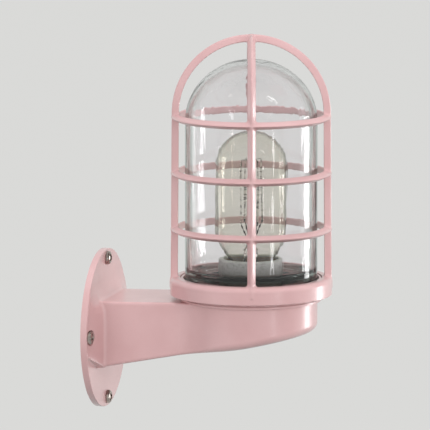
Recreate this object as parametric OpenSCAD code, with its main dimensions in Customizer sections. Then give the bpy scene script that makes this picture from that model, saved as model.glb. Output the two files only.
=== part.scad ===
// Guarded wall sconce: a cast bracket that carries a glass jar, its lamp and a cast guard.
// The frame's origin is the middle of the wall plate's back, +X leaves the wall and +Z is up.

/* [Wall plate] */
// Diameter of the round wall plate
plate_d = 100.4; // [99:0.2:110]
// Thickness of the plate at its rim
plate_t = 4; // [3.5:0.1:6]
// Bevel round the plate's front edge
plate_bevel = 0.8; // [0.4:0.1:1.2]
// Distance from the plate's rim to the circle that the four wall screws stand on
screw_inset = 5.75; // [5:0.05:6.5]
// Diameter of each hole for a wall screw
screw_hole_d = 4.8; // [4.4:0.1:5.4]
// Distance from the wall screws' circle to the gasket in the plate's back
wall_gasket_inset = 4.45; // [3.5:0.05:5.5]
// Width of that gasket
wall_gasket_w = 4.6; // [3:0.1:5]
// Thickness of that gasket, pressed flat
wall_gasket_t = 1.6; // [1:0.1:2]

/* [Wall screws] */
// Diameter of a pan head
screw_head_d = 8.6; // [7:0.1:9.4]
// Height of a pan head
screw_head_h = 2.9; // [2:0.1:3.6]
// Diameter of a wall screw's shank
screw_d = 4.1; // [3.4:0.1:4.2]

/* [Arm] */
// Distance from the wall to the lamp's upright axis
reach = 97.7; // [94:0.1:120]
// Width of the arm
arm_w = 56.8; // [50:0.2:60]
// Height of the arm's top above the plate's middle, at the wall
arm_top = 20.6; // [18:0.1:20.8]
// Slope of the arm's top in degrees
arm_top_slope = 1.1; // [0:0.1:1.3]
// Depth of the underside below the plate's middle, at the wall
arm_drop = 22.6; // [21:0.1:25]
// Slope of the underside in degrees
arm_slope = 10.9; // [9:0.1:11]
// Wall thickness of the hollow casting
wall_t = 3.2; // [2.5:0.1:3.6]
// How far the flare beside the arm stands out from the plate
flare_out = 5.7; // [4:0.1:7]
// Distance from the plate's rim to the flares' outer edge
flare_inset = 1.8; // [1.4:0.1:4]
// Distance from the plate's rim to the flares' upper edge
flare_drop = 10.2; // [9:0.1:14]
// Height of a flare's lower corner at the plate's rim, below the plate's middle
flare_low = 12; // [10:0.5:14]

/* [Hub] */
// How far the hub's underside stands below the line of the arm's
hub_drop = 1.5; // [0.8:0.1:2]
// Step from the neck's underside in to the round hub
neck_step = 2.5; // [2:0.1:3]
// Height of the neck's underside
neck_low = 21.4; // [21:0.1:22]
// Height of the neck
neck_h = 11.6; // [10.5:0.1:12.5]
// Width of the shoulder that the glass jar sits on
jar_shoulder = 3.7; // [3.4:0.1:4.2]

/* [Guard] */
// How much wider the guard's collar is than the wall plate
collar_over = 1.2; // [0.8:0.1:2]
// Thickness of the collar's wall
collar_wall = 6.3; // [6:0.1:6.6]
// Height of the collar
collar_h = 11.2; // [10:0.1:12]
// Gap between the neck's underside and the collar's
collar_lift = 3.5; // [3:0.1:3.8]
// Clearance between the collar and the neck, all round
thread_gap = 0.3; // [0.25:0.01:0.4]
// Depth of the thread between the collar and the neck
thread_depth = 0.8; // [0.5:0.1:0.9]
// Spacing of the thread's ridges
thread_pitch = 2.6; // [2.4:0.1:2.7]
// Rounding of the collar's upper outer edge
collar_round = 3.4; // [2:0.1:4]
// How much narrower the cage is under its crown than the collar
cage_under = 1.6; // [0.8:0.1:2]
// Depth of a rib or hoop, from its flat inner face to its ridge
rib_depth = 4.7; // [4:0.1:5]
// Width of a rib
rib_w = 5.8; // [4.5:0.1:7]
// Height of a hoop's inner face
hoop_h = 5.4; // [4:0.1:6.5]
// Flat left along a rib's or hoop's ridge
ridge_flat = 0.7; // [0.4:0.1:1.2]
// Height of the lowest hoop's middle above the wall plate's middle
hoop_low = 66; // [60:0.1:68]
// Spacing of the three hoops
hoop_step = 35.4; // [35:0.1:37]
// Height of the crown's centre above the top hoop's middle
crown_lift = 2.3; // [2:0.1:5]
// Turn of the guard about the lamp's axis, in degrees from square to the arm
guard_turned = 14; // [0:1:45]

/* [Glass jar] */
// Gap between the jar and the guard's ribs
jar_gap = 3.7; // [3.4:0.1:4.1]
// Thickness of its glass
jar_wall = 3; // [2.2:0.1:3.2]
// Height of the jar's straight side and thick foot
jar_straight = 100; // [94:0.1:101]
// How much lower the dome is than a half ball
dome_flat = 2.5; // [2:0.1:5]
// Height of the thick foot inside the jar
foot_h = 5; // [4:0.1:6]
// Length of the jar's neck below its shoulder
jar_neck_h = 9; // [7:0.1:10]
// Clearance round the jar's neck
jar_neck_gap = 0.4; // [0.3:0.05:0.6]
// Thickness of the jar's gasket
jar_gasket_t = 1.2; // [1:0.1:1.8]
// How far the jar's gasket shows round the jar
gasket_lip = 0.7; // [0.1:0.1:1.4]

/* [Lampholder] */
// Diameter of the porcelain lampholder
holder_d = 40; // [38:0.1:41]
// Height of its rim above the wall plate's middle
holder_top = 48; // [47.5:0.1:52]
// Height of the porcelain
holder_h = 32.4; // [31.5:0.1:32.8]
// Diameter of the opening in its rim
holder_mouth_d = 34; // [33.4:0.1:34.6]
// Thickness of the steel strap that carries it
strap_t = 1.6; // [1:0.1:2]
// Width of that strap
strap_w = 16; // [14:0.5:18]
// Distance of each strap screw from the hub's bore
strap_screw_inset = 8.9; // [8.5:0.1:9.8]
// Diameter of the threaded tube that holds the lampholder on its strap
nipple_d = 9.6; // [9:0.1:10.2]

/* [Lamp] */
// Diameter of the tubular bulb
bulb_d = 44.8; // [42:0.1:46]
// Height of the bulb's round end above the wall plate's middle
bulb_top = 128.4; // [122:0.1:134]
// Height at which the bulb's straight side begins
bulb_side_low = 66.9; // [64:0.1:72]
// Height of the bulb's round end
bulb_end_h = 21.6; // [18:0.1:24]
// Thickness of the bulb's glass
bulb_wall = 0.8; // [0.6:0.1:1.2]
// Diameter over the crests of the lamp's screw cap
cap_d = 26.2; // [25.8:0.1:26.4]
// Spacing of the crests on that cap
cap_pitch = 3.63; // [3.5:0.01:3.7]
// Distance of the filament strands from the lamp's axis
strand_r = 7.6; // [6:0.1:9]
// Length of a filament strand
strand_l = 38; // [34:0.5:40]
// Diameter of a filament strand
strand_d = 1; // [0.8:0.1:1.4]

/* [Wiring] */
// Diameter of an insulated lead
lead_d = 2.6; // [2:0.1:3]
// Length of bare wire at a lead's free end
bare_l = 7; // [5:0.5:9]

/* [Hidden] */
$fn = 96;
eps = 0.01;
far = 300;
pink = [0.89, 0.72, 0.71];
brass = [0.78, 0.62, 0.32];
steel = [0.72, 0.73, 0.74];

plate_r = plate_d / 2;
screw_circle_r = plate_r - screw_inset;
wall_gasket_r = screw_circle_r - wall_gasket_inset;
flare_reach = plate_r - flare_inset;
flare_climb = plate_r - flare_drop;
collar_r = plate_r + collar_over / 2;
cage_r = collar_r - cage_under / 2;
collar_bore_r = collar_r - collar_wall;
neck_r = collar_bore_r - thread_gap;
hub_r = neck_r - neck_step;
jar_r = cage_r - rib_depth - jar_gap;
bore_r = jar_r - jar_shoulder;
neck_top = neck_low + neck_h;
gasket_side_gap = 0.3;
flare_shoulder = 8;
screw_seat_r = screw_head_d / 2 + 0.5;

collar_low = neck_low + collar_lift;
collar_top = collar_low + collar_h;
collar_edge = 0.5;
thread_count = 2;
thread_low = collar_low + 1.2;
cage_foot_r = collar_r - 0.1;
hoop_set = 0.15;
top_hoop_z = hoop_low + 2 * hoop_step;
crown_z = top_hoop_z + crown_lift;
rib_draft = atan((cage_foot_r - cage_r) / (top_hoop_z - collar_top));

jar_low = neck_top + jar_gasket_t;
jar_spring = jar_low + jar_straight;
jar_neck_r = bore_r - jar_neck_gap;
jar_mouth_r = jar_neck_r - jar_wall;
dome_h = jar_r - dome_flat;
dome_steps = 18;

holder_r = holder_d / 2;
holder_low = holder_top - holder_h;
strap_z = holder_low - strap_t;
boss_r = 4.4;
boss_hole_depth = 8;
strap_screw_r = bore_r - strap_screw_inset;
strap_end_r = strap_screw_r + boss_r;
strap_screw_d = 3.4;
strap_head_d = 6.4;
strap_head_h = 2;
hole_gap = 0.3;
nipple_r = nipple_d / 2;
nipple_below = 5.5;
nipple_inside = 3;
nut_r = 8.2;
nut_h = 3;
holder_floor = holder_low + 4.6;
mouth_depth = 10;
shell_t = 0.5;
shell_foot = holder_floor;
cap_r = cap_d / 2;
cap_wave = 0.8;
cap_t = 0.35;
cap_steps = 8;
shell_gap = 0.45;
shell_thread_top = holder_top - mouth_depth;
contact_h = 1.6;
contact_t = 0.6;

cap_low = holder_floor + 6.4;
cap_top = holder_top - 3;
insulator_h = 2.6;
insulator_r = 9.8;
insulator_seat_r = 8.4;
tip_h = 1.5;
tip_r = 4.6;
bulb_r = bulb_d / 2;
bulb_neck_r = cap_r - cap_wave - cap_t - 0.3;
bulb_shoulder_steps = 12;
bulb_shoulder_low = cap_top + 0.2;
bulb_shoulder_power = 1.06;
neck_foot = cap_low + 6;
stem_tube_r = 4.4;
stem_tube_top = holder_top + 8.4;
stem_rod_r = 1.5;
strand_low = bulb_side_low + 4.4;
strand_high = strand_low + strand_l;
stem_top = strand_high + 1;
support_r = 0.35;
strand_turned = 34;

terminal_t = 1;
terminal_w = 8;
terminal_l = 8.5;
notch_w = 11;
notch_depth = 5.6;
notch_h = 10.5;
terminal_head_d = 6;
terminal_head_h = 1.8;
terminal_z = holder_low + 5.6;
terminal_face = holder_r - notch_depth + terminal_t;
terminal_screw_d = 3;
touch_gap = 0.03;
bare_r = lead_d * 0.28;
terminal_seat = terminal_face + 2 * bare_r + 2 * touch_gap;
ground_x = 20;
ground_y = 13;
ground_boss_h = 3;
hub_ledge = 0.6;
ground_head_d = 7;
ground_head_h = 2.4;
ground_d = 3.8;
lead_sides = 8;
lead_smooth = 2;

// A solid under a straight slope that starts at height z0 over the wall plate's back
function slope_z(z0, angle, x) = z0 + x * tan(angle);
function underside(x) = slope_z(-arm_drop, arm_slope, x);
function upper_side(x) = slope_z(arm_top, arm_top_slope, x);
function arc(cx, cy, r, from, to, steps) =
  [for (i = [0:steps]) let (a = from + (to - from) * i / steps) [cx + r * cos(a), cy + r * sin(a)]];
function oval(cy, rx, ry, from, to, steps) =
  [for (i = [0:steps]) let (a = from + (to - from) * i / steps) [rx * cos(a), cy + ry * sin(a)]];

// Children drawn with x as Y and y as Z, from the wall outwards
module from_wall(length) {
  rotate([90, 0, 90]) linear_extrude(length) children();
}

// Children drawn with x as X and y as Z, as wide as given across the arm
module across(width) {
  rotate([90, 0, 0]) linear_extrude(width, center = true) children();
}

module on_lamp_axis() {
  translate([reach, 0, 0]) children();
}

module at_wall_screws() {
  for (k = [0:3]) rotate([90 * k, 0, 0]) translate([0, 0, screw_circle_r]) rotate([0, 90, 0]) children();
}

// Bracket

module plate_disc() {
  rotate([0, 90, 0]) rotate_extrude()
    polygon([[0, 0], [plate_r, 0], [plate_r, plate_t - plate_bevel], [plate_r - plate_bevel, plate_t], [0, plate_t]]);
}

module flare_plan() {
  half = arm_w / 2;
  polygon([
    [0, -flare_reach], [plate_t, -flare_reach], [plate_t + flare_out, -half],
    [plate_t + flare_out, half], [plate_t, flare_reach], [0, flare_reach]
  ]);
}

module flare_front() {
  half = arm_w / 2;
  low = underside(plate_t + flare_out);
  shoulder_z = flare_climb * 0.8;
  polygon([
    [-half, low], [half, low], [flare_reach, -flare_low], [flare_reach, flare_low],
    [half + flare_shoulder, shoulder_z], [half - flare_shoulder, flare_climb], [flare_shoulder - half, flare_climb],
    [-half - flare_shoulder, shoulder_z], [-flare_reach, flare_low], [-flare_reach, -flare_low]
  ]);
}

module flare_side() {
  polygon([
    [0, -arm_drop - plate_t], [plate_t + flare_out + eps, -arm_drop - plate_t],
    [plate_t + flare_out + eps, arm_top - 4], [plate_t + 1.6, arm_top + 2], [plate_t, flare_climb], [0, flare_climb]
  ]);
}

module flare() {
  intersection() {
    translate([0, 0, -far / 2]) linear_extrude(far) flare_plan();
    from_wall(plate_t + flare_out) flare_front();
    across(far) flare_side();
    rotate([0, 90, 0]) cylinder(h = plate_t + flare_out + 1, r = plate_r - plate_bevel);
  }
}

// The outline seen from the side, under the neck
module side_outline() {
  end = reach + hub_r + 1;
  polygon([
    [0, underside(0) - hub_drop], [end, underside(end) - hub_drop], [end, upper_side(end)], [0, upper_side(0)]
  ]);
}

// The hub's underside slopes as the arm's does, a little lower
module arm_and_hub() {
  difference() {
    intersection() {
      translate([0, 0, -far / 2]) linear_extrude(far) {
        translate([0, -arm_w / 2]) square([reach, arm_w]);
        translate([reach, 0]) circle(r = hub_r);
      }
      across(far) side_outline();
    }
    difference() {
      across(far) polygon([[-1, -far / 2], [reach, -far / 2], [reach, underside(reach)], [-1, underside(-1)]]);
      on_lamp_axis() translate([0, 0, -far / 2]) cylinder(h = far, r = hub_r + hub_ledge);
    }
  }
}

module neck_solid() {
  on_lamp_axis() rotate_extrude() polygon(concat(
    [[0, neck_low], [neck_r - 0.4, neck_low], [neck_r, neck_low + 0.4], [neck_r, collar_low + 0.4]],
    [for (k = [0:thread_count - 1]) let (z = thread_low + k * thread_pitch) each [
      [neck_r - thread_depth, z], [neck_r - thread_depth, z + 0.3 * thread_pitch],
      [neck_r, z + 0.55 * thread_pitch], [neck_r, z + 0.7 * thread_pitch]
    ]],
    [[neck_r - thread_depth, thread_low + thread_count * thread_pitch], [neck_r - thread_depth, neck_top], [0, neck_top]]
  ));
}

module strap_bosses() {
  for (side = [-1, 1]) translate([reach, side * strap_screw_r, underside(reach)])
    cylinder(h = strap_z - underside(reach), r = boss_r);
}

module ground_boss() {
  translate([ground_x, ground_y, underside(ground_x)])
    cylinder(h = wall_t + ground_boss_h, r = ground_head_d / 2 + 0.6);
}

// The arm's duct and the hub's bore share one sloping floor
module hollow() {
  intersection() {
    union() {
      across(arm_w - 2 * wall_t) polygon([
        [-1, -far / 2], [reach, -far / 2], [reach, upper_side(reach) - wall_t], [-1, upper_side(-1) - wall_t]
      ]);
      on_lamp_axis() translate([0, 0, -far / 2]) cylinder(h = far, r = bore_r);
    }
    across(far) polygon([
      [-2, underside(-2) + wall_t / cos(arm_slope)],
      [reach + hub_r, underside(reach + hub_r) + wall_t / cos(arm_slope)],
      [reach + hub_r, far / 2], [-2, far / 2]
    ]);
  }
}

module bracket() {
  color(pink) difference() {
    union() {
      plate_disc();
      flare();
      arm_and_hub();
      neck_solid();
    }
    difference() {
      hollow();
      strap_bosses();
      ground_boss();
    }
    rotate([0, 90, 0]) translate([0, 0, -eps]) difference() {
      cylinder(h = wall_gasket_t + eps, r = wall_gasket_r + gasket_side_gap);
      translate([0, 0, -eps]) cylinder(h = wall_gasket_t + 1, r = wall_gasket_r - wall_gasket_w - gasket_side_gap);
    }
    at_wall_screws() translate([0, 0, -1]) cylinder(h = plate_t + 2, r = screw_hole_d / 2);
    at_wall_screws() translate([0, 0, plate_t]) cylinder(h = flare_out + 1, r = screw_seat_r);
    for (side = [-1, 1]) translate([reach, side * strap_screw_r, strap_z - boss_hole_depth])
      cylinder(h = boss_hole_depth + 1, r = strap_screw_d / 2 + hole_gap);
    translate([ground_x, ground_y, underside(ground_x) + wall_t - 1])
      cylinder(h = ground_boss_h + 2, r = ground_d / 2 + hole_gap);
  }
}

module wall_gasket() {
  color([0.16, 0.16, 0.17]) rotate([0, 90, 0]) difference() {
    cylinder(h = wall_gasket_t, r = wall_gasket_r);
    translate([0, 0, -1]) cylinder(h = wall_gasket_t + 2, r = wall_gasket_r - wall_gasket_w);
  }
}

// A pan head with a cross recess, its seat at height 0, and its shank below
module pan_screw(head_d, head_h, shank_d, shank_l) {
  head_r = head_d / 2;
  slot_w = head_d * 0.14;
  slot_l = head_d * 0.56;
  difference() {
    union() {
      rotate_extrude() polygon(concat(
        [[0, 0], [head_r, 0], [head_r, head_h * 0.35]],
        [for (i = [1:5]) let (a = i * 18) [head_r * (0.45 + 0.55 * cos(a)), head_h * (0.35 + 0.65 * sin(a))]],
        [[0, head_h]]
      ));
      translate([0, 0, -shank_l]) cylinder(h = shank_l + eps, r = shank_d / 2);
    }
    for (turn = [0, 90]) rotate([0, 0, turn + 20])
      translate([-slot_l / 2, -slot_w / 2, head_h * 0.4]) cube([slot_l, slot_w, head_h]);
  }
}

module mounting_screws() {
  color(steel) at_wall_screws() translate([0, 0, plate_t])
    pan_screw(screw_head_d, screw_head_h, screw_d, plate_t);
}

module ground_screw() {
  color([0.2, 0.55, 0.3]) translate([ground_x, ground_y, underside(ground_x) + wall_t + ground_boss_h])
    pan_screw(ground_head_d, ground_head_h, ground_d, ground_boss_h + 0.6);
}

// Guard

module ridge_profile(inner_r, outer_r, width) {
  polygon([
    [inner_r, -width / 2], [outer_r, -ridge_flat / 2], [outer_r, ridge_flat / 2], [inner_r, width / 2]
  ]);
}

module collar() {
  outer = collar_r;
  rotate_extrude() polygon(concat(
    [[collar_bore_r, collar_low + collar_edge], [collar_bore_r + collar_edge, collar_low],
     [outer - collar_edge, collar_low], [outer, collar_low + collar_edge]],
    arc(outer - collar_round, collar_top - collar_round, collar_round, 0, 90, 6),
    [[collar_bore_r + collar_edge, collar_top], [collar_bore_r, collar_top - collar_edge]],
    [for (k = [thread_count - 1:-1:0]) let (z = thread_low + k * thread_pitch) each [
      [collar_bore_r, z + 0.5 * thread_pitch], [collar_bore_r - thread_depth, z + 0.27 * thread_pitch],
      [collar_bore_r - thread_depth, z + 0.12 * thread_pitch], [collar_bore_r, z - 0.1 * thread_pitch]
    ]]
  ));
}

module hoop(z) {
  share = (top_hoop_z - z) / (top_hoop_z - collar_top);
  outer = cage_r + (cage_foot_r - cage_r) * share;
  translate([0, 0, z]) rotate_extrude() ridge_profile(outer - rib_depth - hoop_set, outer - hoop_set, hoop_h);
}

module upright_rib() {
  length = top_hoop_z - collar_top + collar_edge + 2;
  translate([cage_r, 0, top_hoop_z]) rotate([0, -rib_draft, 0]) translate([-cage_r, 0, -length])
    linear_extrude(length) ridge_profile(cage_r - rib_depth, cage_r, rib_w);
}

module arch() {
  translate([0, 0, crown_z]) rotate([90, 0, 0]) rotate_extrude(angle = 180)
    ridge_profile(cage_r - rib_depth, cage_r, rib_w);
  for (side = [0, 180]) rotate([0, 0, side]) translate([0, 0, top_hoop_z - 1])
    linear_extrude(crown_lift + 1) ridge_profile(cage_r - rib_depth, cage_r, rib_w);
}

// Where the arches cross, the casting is a little fuller
module crown_button() {
  inner_top = crown_z + cage_r - rib_depth;
  translate([0, 0, inner_top - hoop_set]) cylinder(h = rib_depth / 2, r = rib_w * 0.8);
  translate([0, 0, inner_top]) cylinder(h = rib_depth + 0.1, r = 2 * ridge_flat);
}

module guard() {
  color(pink) on_lamp_axis() rotate([0, 0, guard_turned]) {
    collar();
    crown_button();
    for (k = [0:2]) hoop(hoop_low + k * hoop_step);
    for (k = [0:3]) rotate([0, 0, 90 * k]) upright_rib();
    for (k = [0:1]) rotate([0, 0, 90 * k]) arch();
  }
}

// Glass jar

module glass_jar() {
  inner_r = jar_r - jar_wall;
  color([0.85, 0.9, 0.88, 0.35]) on_lamp_axis() rotate_extrude() polygon(concat(
    [[jar_mouth_r, jar_low - jar_neck_h], [jar_neck_r - 0.6, jar_low - jar_neck_h],
     [jar_neck_r, jar_low - jar_neck_h + 0.6], [jar_neck_r, jar_low], [jar_r - 0.8, jar_low], [jar_r, jar_low + 0.8]],
    oval(jar_spring, jar_r, dome_h, 0, 90, dome_steps),
    oval(jar_spring, inner_r, dome_h - jar_wall, 90, 0, dome_steps),
    [[inner_r, jar_low + foot_h + 2], [jar_mouth_r + 0.6, jar_low + foot_h - 1.2], [jar_mouth_r, jar_low + foot_h - 3]]
  ));
}

module jar_gasket() {
  color([0.1, 0.12, 0.11]) on_lamp_axis() translate([0, 0, neck_top]) difference() {
    cylinder(h = jar_gasket_t, r = jar_r + gasket_lip);
    translate([0, 0, -1]) cylinder(h = jar_gasket_t + 2, r = jar_neck_r + 0.3);
  }
}

// Lampholder

module wave_ring(z_from, z_to, mid_r, wave, phase_z) {
  count = round((z_to - z_from) / cap_pitch * cap_steps);
  polygon(concat([for (i = [0:count]) let (z = z_from + (z_to - z_from) * i / count)
      [mid_r + wave / 2 * cos(360 * (z - phase_z) / cap_pitch), z]],
    [for (i = [count:-1:0]) let (z = z_from + (z_to - z_from) * i / count)
      [mid_r + wave / 2 * cos(360 * (z - phase_z) / cap_pitch) - cap_t, z]]));
}

module terminal_notches() {
  for (side = [-1, 1]) translate([side * (holder_r - notch_depth / 2 + 1), 0, holder_low + notch_h / 2 - 1])
    cube([notch_depth + 2, notch_w, notch_h + 2], center = true);
}

module lampholder_body() {
  color([0.9, 0.9, 0.88]) on_lamp_axis() difference() {
    rotate_extrude() polygon([
      [nipple_r + hole_gap, holder_low], [holder_r - 1, holder_low], [holder_r, holder_low + 1],
      [holder_r, holder_top - 1], [holder_r - 1, holder_top], [holder_mouth_d / 2, holder_top],
      [holder_mouth_d / 2, shell_thread_top - 0.6],
      [cap_r + shell_gap + shell_t + 0.6, shell_thread_top - 1.6],
      [cap_r + shell_gap + shell_t + 0.6, holder_floor], [nipple_r + hole_gap, holder_floor]
    ]);
    terminal_notches();
  }
}

module lampholder_shell() {
  crest = cap_r + shell_gap;
  mouth = holder_mouth_d / 2 - 0.3;
  color(brass) on_lamp_axis() rotate_extrude() polygon([
    [crest, shell_foot], [crest + shell_t, shell_foot], [crest + shell_t, shell_thread_top - 1],
    [mouth, shell_thread_top], [mouth, holder_top - 1.2], [mouth - shell_t, holder_top - 1.2],
    [mouth - shell_t, shell_thread_top + 0.3], [crest, shell_thread_top - 0.7]
  ]);
}

module centre_contact() {
  tip_low = cap_low - insulator_h - tip_h;
  rise = tip_low - hole_gap - holder_floor;
  color(brass) on_lamp_axis() across(5) polygon([
    [-11, holder_floor], [-6.2, holder_floor], [-3, holder_floor + rise - contact_t], [4, holder_floor + rise - contact_t],
    [4, holder_floor + rise], [-3.3, holder_floor + rise], [-6.6, holder_floor + contact_t], [-11, holder_floor + contact_t]
  ]);
}

module terminals() {
  color(brass) on_lamp_axis() for (side = [0, 180]) rotate([0, 0, side])
    translate([holder_r - notch_depth, -terminal_w / 2, holder_low + 1.6]) difference() {
      cube([terminal_t, terminal_w, terminal_l]);
      translate([-1, terminal_w / 2, terminal_z - holder_low - 1.6]) rotate([0, 90, 0])
        cylinder(h = terminal_t + 2, r = 1.8);
    }
}

module terminal_screws() {
  color(steel) on_lamp_axis() for (side = [0, 180]) rotate([0, 0, side])
    translate([terminal_seat, 0, terminal_z]) rotate([0, 90, 0])
      pan_screw(terminal_head_d, terminal_head_h, terminal_screw_d, terminal_seat - terminal_face + terminal_t);
}

module lampholder_strap() {
  color(steel) translate([reach, 0, strap_z]) difference() {
    union() {
      translate([-strap_w / 2, -strap_screw_r, 0]) cube([strap_w, 2 * strap_screw_r, strap_t]);
      intersection() {
        translate([-strap_w / 2, -strap_end_r, 0]) cube([strap_w, 2 * strap_end_r, strap_t]);
        cylinder(h = strap_t, r = strap_end_r);
      }
    }
    translate([0, 0, -1]) cylinder(h = strap_t + 2, r = nipple_r + hole_gap);
    for (side = [-1, 1]) translate([0, side * strap_screw_r, -1])
      cylinder(h = strap_t + 2, r = strap_screw_d / 2 + hole_gap);
  }
}

module strap_screws() {
  color(steel) for (side = [-1, 1]) translate([reach, side * strap_screw_r, holder_low])
    pan_screw(strap_head_d, strap_head_h, strap_screw_d, boss_hole_depth);
}

module threaded_tube() {
  color(steel) on_lamp_axis() translate([0, 0, strap_z - nipple_below]) difference() {
    cylinder(h = nipple_below + strap_t + nipple_inside, r = nipple_r);
    translate([0, 0, -1]) cylinder(h = far, r = nipple_r - 1.6);
  }
}

module tube_nut() {
  color(steel) on_lamp_axis() translate([0, 0, strap_z - nut_h]) difference() {
    cylinder(h = nut_h, r = nut_r, $fn = 6);
    translate([0, 0, -1]) cylinder(h = nut_h + 2, r = nipple_r + hole_gap);
  }
}

// Lamp

function bulb_outline(inset) = concat(
  [[bulb_neck_r - inset, neck_foot], [bulb_neck_r - inset, bulb_shoulder_low]],
  [for (i = [1:bulb_shoulder_steps]) let (t = i / bulb_shoulder_steps)
    [bulb_neck_r - inset + (bulb_r - bulb_neck_r) * sin(90 * pow(t, bulb_shoulder_power)),
     bulb_shoulder_low + (bulb_side_low - bulb_shoulder_low) * t]],
  oval(bulb_top - bulb_end_h, bulb_r - inset, bulb_end_h - inset, 0, 90, 14)
);

module bulb_glass() {
  outer = bulb_outline(0);
  inner = bulb_outline(bulb_wall);
  color([0.8, 0.78, 0.72, 0.4]) on_lamp_axis() rotate_extrude()
    polygon(concat(outer, [for (i = [len(inner) - 1:-1:0]) inner[i]]));
}

module bulb_cap() {
  mid = cap_r - cap_wave / 2;
  color(brass) on_lamp_axis() rotate_extrude() {
    wave_ring(cap_low + 1, cap_top - 2.5, mid, cap_wave, cap_low + 1 + cap_pitch / 2);
    polygon([
      [mid - cap_wave / 2 - cap_t, cap_top - 2.6], [mid + cap_wave / 2, cap_top - 2.6],
      [mid + cap_wave / 2, cap_top], [mid - cap_wave / 2 - cap_t, cap_top]
    ]);
    polygon([
      [insulator_seat_r, cap_low], [mid - cap_wave / 2 - 0.4, cap_low], [mid - cap_wave / 2, cap_low + 1.1],
      [mid - cap_wave / 2 - cap_t, cap_low + 1.1], [insulator_seat_r, cap_low + 0.4]
    ]);
  }
}

module bulb_insulator() {
  color([0.07, 0.07, 0.08]) on_lamp_axis() rotate_extrude() polygon([
    [1.4, cap_low - insulator_h], [tip_r + 0.4, cap_low - insulator_h], [insulator_r, cap_low],
    [insulator_seat_r, cap_low], [insulator_seat_r, cap_low + 0.4], [tip_r + 1.4, cap_low + 1.6], [1.4, cap_low + 1.6]
  ]);
}

module bulb_tip() {
  low = cap_low - insulator_h - tip_h;
  color(brass) on_lamp_axis() rotate_extrude() polygon([
    [0, low], [tip_r - 1.6, low], [tip_r - 0.4, low + 0.5], [tip_r, low + tip_h], [1.2, low + tip_h],
    [1.2, low + tip_h + 2], [0, low + tip_h + 2]
  ]);
}

module bulb_stem() {
  lip = bulb_neck_r - bulb_wall - 0.2;
  color([0.85, 0.88, 0.87, 0.5]) on_lamp_axis() rotate_extrude() polygon([
    [lip, neck_foot + 1], [lip, neck_foot + 2], [stem_tube_r + 1.2, holder_top - 5], [stem_tube_r, holder_top - 1],
    [stem_tube_r, stem_tube_top - 4], [stem_rod_r + 0.6, stem_tube_top - 0.6], [stem_rod_r, stem_tube_top],
    [stem_rod_r, stem_top - 0.8], [stem_rod_r - 0.7, stem_top], [0, stem_top], [0, stem_tube_top - 5],
    [stem_tube_r - 1, stem_tube_top - 6], [stem_tube_r - 1, holder_top - 2], [stem_tube_r, holder_top - 6],
    [lip - 1.6, neck_foot + 1]
  ]);
}

// A straight wire between two points at distances r0 and r1 from the axis
module slant_wire(r0, z0, r1, z1) {
  length = norm([r1 - r0, z1 - z0]);
  translate([r0, 0, z0]) rotate([0, atan2(r1 - r0, z1 - z0), 0]) cylinder(h = length, r = support_r, $fn = 16);
}

module at_strands() {
  on_lamp_axis() for (k = [0:3]) rotate([0, 0, strand_turned + 90 * k]) children();
}

module filament_supports() {
  color(steel) at_strands() {
    slant_wire(stem_rod_r + 0.7, stem_tube_top + 0.2, strand_r, strand_low - 0.5);
    slant_wire(stem_rod_r + 0.5, stem_top - 2.4, strand_r, strand_high + 0.5);
  }
}

module filament() {
  color([0.35, 0.33, 0.3]) at_strands() translate([strand_r, 0, strand_low])
    cylinder(h = strand_l, r = strand_d / 2, $fn = 24);
}

// Leads

function smooth(points) = concat(
  [for (i = [0:len(points) - 2]) let (
      a = points[max(i - 1, 0)], b = points[i], c = points[i + 1], d = points[min(i + 2, len(points) - 1)])
    each [for (s = [0:lead_smooth - 1]) let (t = s / lead_smooth)
      0.5 * (2 * b + (c - a) * t + (2 * a - 5 * b + 4 * c - d) * t * t + (3 * b - a - 3 * c + d) * t * t * t)]],
  [points[len(points) - 1]]
);

// A round tube along points that never run parallel to Y
module tube(points, r) {
  count = len(points);
  rings = [for (i = [0:count - 1]) let (
      t = points[min(i + 1, count - 1)] - points[max(i - 1, 0)],
      along = t / norm(t), n = cross(along, [0, 1, 0]), u = n / norm(n), v = cross(along, u))
    each [for (k = [0:lead_sides - 1]) let (a = 360 * k / lead_sides) points[i] + r * (cos(a) * u + sin(a) * v)]];
  walls = [for (i = [0:count - 2]) each [for (k = [0:lead_sides - 1]) let (
      p = i * lead_sides + k, q = i * lead_sides + (k + 1) % lead_sides)
    each [[p, q + lead_sides, q], [p, p + lead_sides, q + lead_sides]]]];
  last = (count - 1) * lead_sides;
  ends = concat(
    [for (k = [1:lead_sides - 2]) [0, k, k + 1]],
    [for (k = [1:lead_sides - 2]) [last, last + k + 1, last + k]]
  );
  polyhedron(rings, concat(walls, ends));
}

module lead(route) {
  points = smooth(route);
  first = route[0];
  tube(points, lead_d / 2);
  translate([first[0] - bare_l, first[1], first[2]]) rotate([0, 90, 0]) cylinder(h = bare_l, r = bare_r, $fn = 24);
}

// Routes from the wall's side to the lampholder or the ground screw
lead_start = 9;
lead_straight = 9;
lead_sweep = 14;
mid_x = reach / 2;
lead_off = terminal_face + lead_d / 2 + 0.2;
lead_end_z = terminal_z - terminal_head_d / 2 - 1.2;
lead_side = terminal_screw_d / 2 + bare_r + touch_gap;
near_terminal = reach - lead_off;
far_terminal = reach + lead_off;

// The bare end of a lead, held beside the screw under its head
module held_end(side) {
  translate([reach + side * (terminal_face + bare_r + touch_gap), lead_side, lead_end_z - 1])
    cylinder(h = terminal_z - lead_end_z + 3, r = bare_r, $fn = 24);
}

module line_lead() {
  color([0.08, 0.08, 0.08]) {
    lead([
      [lead_start, -8, 2], [lead_start + lead_straight, -8, 1], [mid_x - lead_sweep, -9, -1], [mid_x, -9, 0],
      [near_terminal - lead_sweep, -7, 2],
      [near_terminal - 4, -3, 5], [near_terminal, lead_side - 1, 11], [near_terminal, lead_side, lead_end_z]
    ]);
    held_end(-1);
  }
}

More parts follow.
